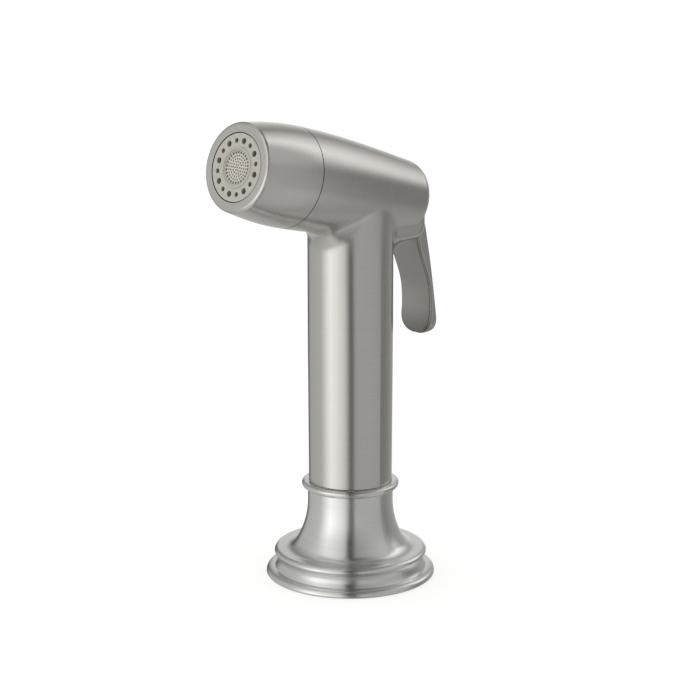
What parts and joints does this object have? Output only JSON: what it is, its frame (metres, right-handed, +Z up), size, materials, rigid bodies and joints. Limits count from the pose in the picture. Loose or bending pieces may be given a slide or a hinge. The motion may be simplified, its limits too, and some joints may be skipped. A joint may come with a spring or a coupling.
{
  "type": "pull-out hand spray with deck holder",
  "caption": "Pull-out kitchen hand spray with a trigger lever and angled head, standing in a stepped, bell-shaped deck holder with a threaded shank.",
  "frame": {"origin": "centre of the holder on the worktop's top face, on the axis of the shank and handle", "axes": "+Z up along the handle; the nozzle points to -Y, tilted 15 degrees up; the trigger lever is at +Y; +X completes the frame"},
  "size_m": [0.054, 0.083, 0.1959],
  "materials": {
    "brushed_nickel": "brushed nickel plating, satin, slightly warm",
    "pale_plate": "pale warm grey moulded plastic",
    "mesh": "pale perforated screen",
    "brass": "machined brass",
    "steel": "stainless steel",
    "rubber": "black nitrile rubber",
    "white_plastic": "white acetal"
  },
  "bodies": {
    "deck_holder": {"holder_bell": "brushed_nickel", "mount_shank": "brass", "deck_gasket": "rubber", "rubber_washer": "rubber", "backing_washer": "steel", "lock_nut": "brass"},
    "guide": {"guide_bush": "white_plastic", "bush_clip": "steel"},
    "sprayer": {"spray_body": "brushed_nickel", "nose_cap": "brushed_nickel", "cap_seal": "rubber", "nozzle_plate": "pale_plate", "plate_gasket": "rubber", "aerator_housing": "white_plastic", "aerator_seal": "rubber", "jet_disc": "mesh", "inner_screen": "mesh", "outlet_mesh": "mesh", "seat_ring": "brass", "seat_seal": "rubber", "gland_nut": "brass", "stem_seal": "rubber", "valve_spring": "steel", "pivot_pin": "steel", "inlet_fitting": "brass", "inlet_seal": "rubber", "filter_screen": "mesh", "check_housing": "white_plastic", "check_seal": "rubber", "check_guide": "white_plastic", "check_spring": "steel"},
    "trigger": {"trigger_lever": "brushed_nickel", "thrust_pad": "white_plastic"},
    "valve": {"valve_stem": "steel", "valve_washer": "rubber", "washer_clip": "steel"},
    "check": {"check_poppet": "white_plastic", "poppet_seal": "rubber"}
  },
  "joints": [
    {"name": "swivel", "type": "hinge", "parent": "deck_holder", "child": "guide", "pos_m": [0, 0, 0.03], "axis": [0, 0, 1], "continuous": true},
    {"name": "lift_out", "type": "slide", "parent": "guide", "child": "sprayer", "axis": [0, 0, 1], "range_m": [0, 0.1]},
    {"name": "trigger", "type": "hinge", "parent": "sprayer", "child": "trigger", "pos_m": [0, 0.0195, 0.1143], "axis": [-1, 0, 0], "range_deg": [0, 15], "stiffness_Nm_per_rad": 0.06, "springref_deg": -25.78},
    {"name": "valve_lift", "type": "slide", "parent": "sprayer", "child": "valve", "axis": [0, -1, 0], "range_m": [0, 0.00143], "deforming": ["valve_spring"]},
    {"name": "check_lift", "type": "slide", "parent": "sprayer", "child": "check", "axis": [0, 0, 1], "range_m": [0, 0.004], "stiffness_N_per_m": 60, "springref_m": -0.003, "deforming": ["check_spring"]}
  ],
  "couplings": [
    {"joint": "valve_lift", "follows": "trigger", "m_per_rad": 0.00545}
  ]
}
